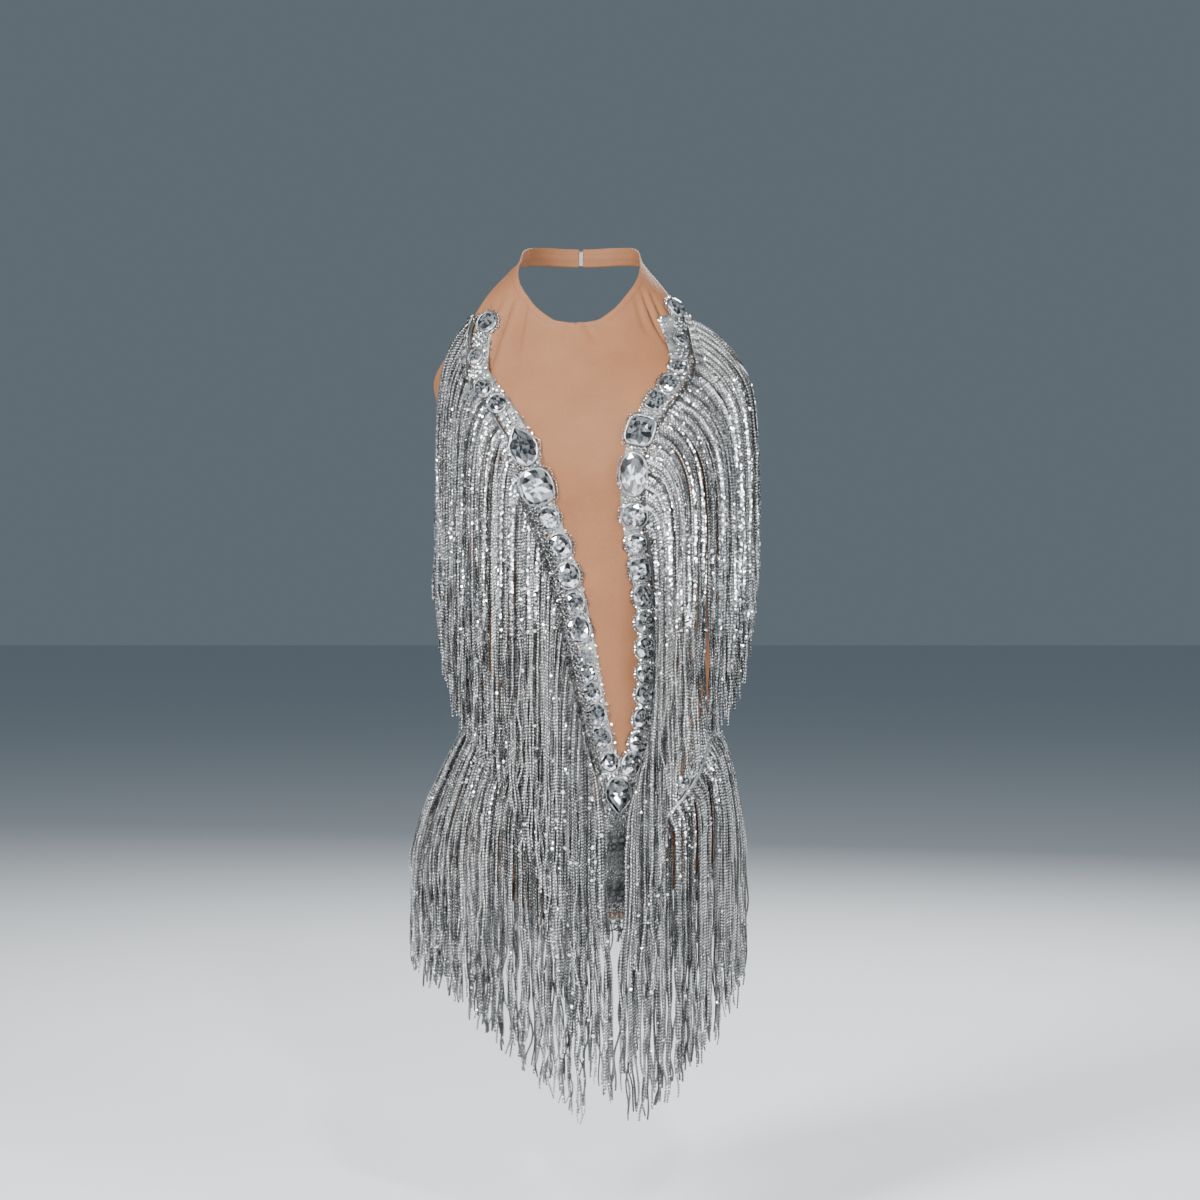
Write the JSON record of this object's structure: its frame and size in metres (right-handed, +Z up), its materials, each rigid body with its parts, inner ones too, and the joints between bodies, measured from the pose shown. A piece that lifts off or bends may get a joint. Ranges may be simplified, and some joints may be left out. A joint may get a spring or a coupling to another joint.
{
  "type": "dance bodysuit",
  "caption": "Halter-neck stretch dance bodysuit, low at the back, with crystal bands along a deep V and round the hips, each carrying a long cord fringe.",
  "frame": {"origin": "inside of the halter at the nape of the neck, where the wearer's neck holds the bodysuit up", "axes": "+Z up along the wearer, the front faces -Y, and +X is the wearer's left"},
  "size_m": [0.3343, 0.257, 0.8424],
  "materials": {
    "nude_knit": "matt satin stretch knit",
    "silver_cloth": "silver soutache on a grey ground",
    "silver_cord": "twisted metallic cord with sequins",
    "crystal": "foil-backed faceted crystal in metal cups",
    "clasp_metal": "polished"
  },
  "bodies": {
    "root": {"front_panel": "nude_knit", "back_panel": "nude_knit", "crotch_gusset": "nude_knit", "halter_strap_left": "nude_knit", "halter_strap_right": "nude_knit", "silver_front_panel": "silver_cloth", "nape_clasp": "clasp_metal", "v_drop_stone": "crystal", "v_stone_band_left": "crystal", "v_stone_band_right": "crystal", "hip_stone_band_left": "crystal", "hip_stone_band_right": "crystal", "hip_stone_band_back_left": "crystal", "hip_stone_band_back_right": "crystal", "bust_fringe_left": "silver_cord", "bust_fringe_right": "silver_cord", "hip_fringe_left": "silver_cord", "hip_fringe_right": "silver_cord", "hip_fringe_back_left": "silver_cord", "hip_fringe_back_right": "silver_cord"}
  },
  "joints": []
}
